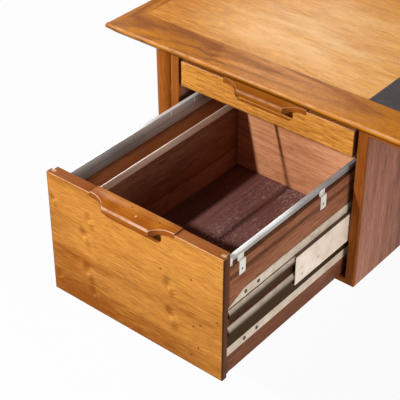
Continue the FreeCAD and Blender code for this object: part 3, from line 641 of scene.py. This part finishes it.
def zinc(name, light, dark, metallic, rough, bands=(), bows=(), upward=0.0):
    """Plated sheet: clouds, stains and rubbed lines.

    Bands get painted shade, bows painted shade on their lower half, and faces that look up painted dark shade.
    """
    paint = Paint(name, Metallic=metallic, Specular_IOR_Level=0.02)
    place = paint.where()
    cloud = paint.noise(place, 26.0, 4.0, 0.6)
    lines = paint.noise(paint.scaled(place, (400.0, 7.0, 400.0)), detail=2.0)
    stain = paint.noise(paint.scaled(place, (1.0, 1.0, 1.6)), 42.0, 5.0, 0.7, 0.6)
    stain = paint.span(stain, 0.54, 0.68)
    colour = paint.mix(paint.span(cloud, 0.3, 0.7), (*dark, 1), (*light, 1))
    colour = paint.mix(paint.span(lines, 0.35, 0.8, 0.0, 0.3), colour, (*dark, 1))
    colour = paint.mix(paint.times(stain, 0.28), colour, (0.38, 0.27, 0.17, 1))
    height = paint.axes(place)[2]
    # Painted shade over each bow's lower half
    for low, high in bows:
        inside = between(paint, height, low, high, 0.3 * MM)
        shade = paint.times(inside, paint.span(height, low + 0.45 * BOW, low + 0.95 * BOW, 1.0, 0.0))
        colour = paint.mix(shade, colour, (0.040, 0.022, 0.009, 1))
    # Painted shade in each band
    for low, high in bands:
        colour = paint.mix(between(paint, height, low, high, 0.3 * MM), colour, (0.045, 0.023, 0.007, 1))
    # Faces that look up are painted dark brown: painted shade
    if upward:
        tops = paint.span(paint.facing("Z"), 0.4, 0.8, 0.0, upward)
        colour = paint.mix(tops, colour, (0.09, 0.055, 0.03, 1))
    paint.set("Base Color", colour)
    paint.set("Roughness", paint.span(cloud, 0.3, 0.7, rough + 0.08, rough - 0.06))
    paint.bump(paint.plus(cloud, stain), 0.08, 0.0003)
    return paint.material


def dull(name, colour, rough, metallic):
    """A small fitting's dull finish with a grainy tone."""
    paint = Paint(name, Metallic=metallic)
    tone = paint.noise(paint.where(), 400.0, 3.0, 0.6)
    shade = [part * 0.6 for part in colour]
    paint.set("Base Color", paint.mix(paint.span(tone, 0.3, 0.7), (*shade, 1), (*colour, 1)))
    paint.set("Roughness", paint.span(tone, 0.3, 0.7, rough - 0.08, rough + 0.1))
    paint.bump(tone, 0.1, 0.0002)
    return paint.material


bottom_board = hardboard()
# Painted shade: the recess between the lower strip and bow, and a thin painted shadow under the upper strip
RAIL_SHADE_BANDS = [
    (rails_low + STRIP, rails_low + LOWER_SLIDE - BOW), (rails_high - BOW - MM, rails_high - BOW + MM)]
RAIL_SHADED_BOWS = [
    (rails_low + LOWER_SLIDE - BOW, rails_low + LOWER_SLIDE), (rails_high - UPPER_SLIDE, rails_high - BOW)]
rail_zinc = zinc(
    "rail_zinc", (0.80, 0.69, 0.57), (0.54, 0.43, 0.32), metallic=0.05, rough=0.46, bands=RAIL_SHADE_BANDS, bows=RAIL_SHADED_BOWS)
# The middle plates' tops take painted shade
plate_zinc = zinc("plate_zinc", (0.98, 0.86, 0.74), (0.78, 0.64, 0.52), metallic=0.2, rough=0.50, upward=0.9)
clip_zinc = zinc("clip_zinc", (0.88, 0.85, 0.79), (0.72, 0.68, 0.62), metallic=0.2, rough=0.42)
screw_dark = dull("screw_dark", (0.055, 0.042, 0.032), rough=0.45, metallic=0.6)
rivet_zinc = dull("rivet_zinc", (0.60, 0.53, 0.45), rough=0.42, metallic=0.3)
glide_dark = dull("glide_dark", (0.035, 0.035, 0.036), rough=0.5, metallic=0.0)

# Each CAD node's material

CASE_BOARDS = {"outer_side": case_wood, "inner_side": case_wood, "bottom": rail_wood, "back": back_wood}
UPPER_BOARDS = {"sides": side_wood, "back": cross_wood, "bottom": bottom_board}
FILE_PIECES = {
    "left_side": far_side_wood, "right_side": slide_side_wood, "back": cross_wood, "bottom": bottom_board,
    "folder_bar": folder_steel(), "foot_strips": strip_wood, "hanging_rails": bright_steel(),
    "rail_clips": clip_zinc, "slide_rails": rail_zinc, "slide_screws": screw_dark, "middle_slides": plate_zinc,
}
finish = {
    "top_panel": field_wood, "top_edging": edge_wood, "writing_leather": leather(), "foot_glides": glide_dark,
    "leg_spacers": leg_wood, "case_lipping": lipping_wood, "kneehole_rails": rail_wood,
    "drawer_runners": side_wood, "case_slide_channels": rail_zinc, **fronts, **pulls,
}
for corner in ("front_left", "front_right", "back_left", "back_right"):
    finish[f"leg_{corner}"] = leg_wood
for side in AHEAD:
    for group, pieces in (("case", CASE_BOARDS), ("upper", UPPER_BOARDS), ("file", FILE_PIECES)):
        for piece, material in pieces.items():
            finish[f"{side}_{group}_{piece}"] = material
for name, material in finish.items():
    nodes[name].data.materials.clear()
    nodes[name].data.materials.append(material)


# Pieces with eased edges that stand for CAD boards, sheets, fronts and pulls

# Degrees between two faces of one plane, of a curve, of an edge to round and of a shaded crease
FLAT = 0.5
FACET = 20.0
SHARP = 40
CREASE = 50
# Distances within which points are merged, before and after the rounding
WELD = 1e-6
MERGE = 0.01 * MM
FRONT_MERGE = 0.06 * MM
# Radii of rounded edges
FILE_BOARD_ROUND = 1.1 * MM
UPPER_BOARD_ROUND = 0.9 * MM
SHEET_ROUND = 0.45 * MM
RAIL_ROUND = 1.2 * MM
FRONT_ROUND = 1.8 * MM
PULL_ROUND = 1.2 * MM
FRONT_PROUD = 0.7 * MM


def shown(name, shape, body, material):
    """A new piece, from a shape in the shared frame, that rides on a body."""
    mesh = bpy.data.meshes.new(name)
    shape.to_mesh(mesh)
    shape.free()
    if "custom_normal" in mesh.attributes:
        mesh.attributes.remove(mesh.attributes["custom_normal"])
    mesh.set_sharp_from_angle(angle=math.radians(CREASE))
    mesh.materials.clear()
    mesh.materials.append(material)
    piece = bpy.data.objects.new(name, mesh)
    bpy.context.scene.collection.objects.link(piece)
    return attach(piece, body)


def bevel(shape, edges, radius):
    """Rounds edges, and shades only the roundings and facets of curves smooth."""
    made = bmesh.ops.bevel(
        shape, geom=edges, offset=radius, offset_type="OFFSET", segments=2, profile=0.5, affect="EDGES",
        clamp_overlap=True, material=-1)["faces"]
    shape.normal_update()
    rounded = set(made)
    for face in shape.faces:
        bends = [math.degrees(edge.calc_face_angle(0.0)) for edge in face.edges]
        face.smooth = face in rounded or any(FLAT < bend < FACET for bend in bends)


def eased(node, radius, proud=0.0, upward=-1.0):
    """A piece that stands for a CAD node, with sharp edges rounded where a face looks upward enough.

    Its foremost face may stand proud along Y, where the larger merge clears the folds at the front's seat.
    """
    shape = bmesh.new()
    shape.from_mesh(nodes[node].data)
    bmesh.ops.remove_doubles(shape, verts=shape.verts, dist=WELD)
    bmesh.ops.dissolve_limit(shape, angle_limit=math.radians(FLAT), verts=shape.verts, edges=shape.edges)
    joined = [edge for edge in shape.edges if len(edge.link_faces) == 2]
    sharp = [edge for edge in joined if edge.calc_face_angle() > math.radians(SHARP)]
    sharp = [edge for edge in sharp if max(face.normal.z for face in edge.link_faces) >= upward]
    bevel(shape, sharp, radius)
    bmesh.ops.dissolve_degenerate(shape, dist=FRONT_MERGE if proud else MERGE, edges=shape.edges)
    if proud:
        foremost = max(shape.verts, key=lambda vert: proud * vert.co.y).co.y
        for vert in shape.verts:
            if abs(vert.co.y - foremost) < 0.1 * MM:
                vert.co.y += proud
    piece = shown(f"{node}_eased", shape, body_of[node], finish[node])
    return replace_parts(piece, node)


for side in AHEAD:
    for board in ("left_side", "right_side", "back", "foot_strips"):
        eased(f"{side}_file_{board}", FILE_BOARD_ROUND)
    for board in ("sides", "back"):
        eased(f"{side}_upper_{board}", UPPER_BOARD_ROUND)
    for sheet in ("rail_clips", "middle_slides", "hanging_rails", "folder_bar"):
        eased(f"{side}_file_{sheet}", SHEET_ROUND)
eased("kneehole_rails", RAIL_ROUND)
for drawer in VENEERS:
    eased(f"{drawer}_front", FRONT_ROUND, proud=AHEAD[drawer.split("_")[0]] * FRONT_PROUD)
    eased(f"{drawer}_pull", PULL_ROUND, upward=0.8)


# Small fittings that the CAD leaves out

STUD_SIDES = 20
# Rivets: millimetres behind the plate's front end, and shares of its height
RIVETS = ((23.6, 0.24), (77.0, 0.37))
RIVET_RADIUS = 3.2 * MM
RIVET_HEIGHT = 0.35 * MM
# Tabs and marks on the hanging rails: millimetres behind the front's face, and below the rail's top
TAB = (27.0, 37.0)
TAB_DROP = (28.0, 0.5)
TICKS = (348.0, 426.0)
TICK_LENGTH = 4.0
TICK_DROP = (14.0, 3.0)


def stud(shape, centre, outward, radius, height):
    """A round head that faces along X, with a sunk eye."""
    place = Matrix.Translation(centre) @ Matrix.Rotation(math.radians(90 * outward), 4, "Y")
    made = bmesh.ops.create_cone(
        shape, cap_ends=True, segments=STUD_SIDES, radius1=radius, radius2=0.8 * radius, depth=height, matrix=place)
    caps = {face for vert in made["verts"] for face in vert.link_faces if len(face.verts) == STUD_SIDES}
    top = max(caps, key=lambda face: outward * face.calc_center_median().x)
    bmesh.ops.inset_region(shape, faces=[top], thickness=0.35 * radius)
    bmesh.ops.inset_region(shape, faces=[top], thickness=0.1 * radius, depth=-0.7 * height)


def block(shape, low, high, radius):
    """A box between two corners with rounded edges."""
    size = [top - base for base, top in zip(low, high)]
    middle = [(top + base) / 2 for base, top in zip(low, high)]
    place = Matrix.Translation(middle) @ Matrix.Diagonal((*size, 1))
    made = bmesh.ops.create_cube(shape, size=1.0, matrix=place)
    bevel(shape, list({edge for vert in made["verts"] for edge in vert.link_edges}), radius)


def plate_rivets(side, ahead):
    """The rivets on the outer faces of a file slide's middle plates."""
    plates = f"{side}_file_middle_slides"
    low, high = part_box(plates)
    front = low.y if ahead < 0 else high.y
    shape = bmesh.new()
    for behind, up in RIVETS:
        for face, outward in ((low.x, -1), (high.x, 1)):
            spot = (face + outward * 0.1 * MM, front - ahead * behind * MM, low.z + up * (high.z - low.z))
            stud(shape, spot, outward, RIVET_RADIUS, RIVET_HEIGHT)
    shown(f"{side}_plate_rivets", shape, body_of[plates], rivet_zinc)


def rail_tabs(side, ahead):
    """The tabs and the marks on a file drawer's hanging rails."""
    rails = f"{side}_file_hanging_rails"
    low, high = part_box(rails)
    middle = (low.x + high.x) / 2
    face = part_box(f"{side}_file_front")[0 if ahead < 0 else 1].y
    shape = bmesh.new()

    def plate(ends, reach, drop, radius):
        """A small block on a rail, between two places along X."""
        near, far = sorted(ends)
        start, stop = sorted(face - ahead * part * MM for part in reach)
        foot, top = (high.z - part * MM for part in drop)
        block(shape, (near, start, foot), (far, stop, top), radius)

    for edge, outward in ((low.x, -1), (high.x, 1)):
        plate((edge - outward * 0.4 * MM, edge + outward * 1.0 * MM), TAB, TAB_DROP, 0.3 * MM)
        inner = [vert.co.x for vert in nodes[rails].data.vertices if outward * (vert.co.x - middle) > 0]
        inner = min(inner, key=lambda spot: outward * spot)
        for behind in TICKS:
            ends = (inner + outward * 0.3 * MM, inner - outward * 0.5 * MM)
            plate(ends, (behind, behind + TICK_LENGTH), TICK_DROP, 0.2 * MM)
    shown(f"{side}_rail_tabs", shape, body_of[rails], clip_zinc)


for side, ahead in AHEAD.items():
    plate_rivets(side, ahead)
    rail_tabs(side, ahead)

# Stage, lights and camera

FLOOR_HALF = 14.0
FLOOR_GLOW = 0.95
AMBIENT = 0.10
floor_mesh = bpy.data.meshes.new("floor")
floor_shape = bmesh.new()
bmesh.ops.create_grid(floor_shape, x_segments=1, y_segments=1, size=FLOOR_HALF)
floor_shape.to_mesh(floor_mesh)
floor_shape.free()
floor = bpy.data.objects.new("floor", floor_mesh)
bpy.context.scene.collection.objects.link(floor)


def seen(tree):
    """1 for rays that show the background: camera, glossy and transmission rays."""
    path = tree.add("LightPath").outputs
    return tree.most(tree.most(path["Is Camera Ray"], path["Is Glossy Ray"]), path["Is Transmission Ray"])


floor_paint = Paint("floor", Base_Color=(0.6, 0.6, 0.6, 1), Roughness=0.9)
glow = floor_paint.add("Emission", {"Color": (1, 1, 1, 1), "Strength": 1.0})
share = floor_paint.times(seen(floor_paint), FLOOR_GLOW)
blend = floor_paint.add("MixShader", {0: share, 1: floor_paint.shader.outputs[0], 2: glow.outputs[0]})
floor_paint.put(floor_paint.tree.nodes["Material Output"].inputs["Surface"], blend.outputs[0])
floor_mesh.materials.append(floor_paint.material)

world = bpy.data.worlds.new("studio")
bpy.context.scene.world = world
world.use_nodes = True
air = Nodes(world.node_tree)
sky = air.tree.nodes["Background"]
air.put(sky.inputs["Color"], (1, 1, 1, 1))
air.put(sky.inputs["Strength"], air.span(seen(air), 0.0, 1.0, AMBIENT, 1.0))


def lamp(name, toward, distance, size, watts, aim):
    """An area lamp that stands in a direction from the point that it lights."""
    light = bpy.data.lights.new(name, "AREA")
    light.shape = "SQUARE"
    light.size = size
    light.energy = watts
    holder = bpy.data.objects.new(name, light)
    bpy.context.scene.collection.objects.link(holder)
    direction = Vector(toward).normalized()
    holder.location = Vector(aim) + direction * distance
    holder.rotation_euler = direction.to_track_quat("Z", "Y").to_euler()


DRAWER = (-0.55, -0.35, 0.55)
lamp("key", toward=(-0.30, -1.0, 0.84), distance=3.2, size=0.10, watts=104, aim=DRAWER)
lamp("fill", toward=(1.0, -0.2, 0.2), distance=3.0, size=1.4, watts=51, aim=DRAWER)
lamp("sheen", toward=(-1.95, 2.75, 1.86), distance=3.85, size=0.7, watts=28, aim=(-0.56, -0.02, 0.737))
lamp("top", toward=(-1.0, 0.5, 0.62), distance=3.2, size=0.9, watts=45, aim=(-0.55, 0.0, 0.737))

# The camera, fitted to the photograph's edges
EYE = (0.6338, -1.9272, 1.9291)
YAW, PITCH, ROLL = 39.1106, 35.6596, 0.2532
camera = bpy.data.cameras.new("camera")
camera.sensor_width = 36.0
camera.lens = 107.104
camera.clip_end = 60.0
viewer = bpy.data.objects.new("camera", camera)
bpy.context.scene.collection.objects.link(viewer)
turn = Matrix.Rotation(math.radians(YAW), 4, "Z") @ Matrix.Rotation(math.radians(90 - PITCH), 4, "X")
viewer.matrix_world = Matrix.Translation(EYE) @ turn @ Matrix.Rotation(math.radians(ROLL), 4, "Z")
bpy.context.scene.camera = viewer
bpy.context.scene.view_settings.view_transform = "Standard"
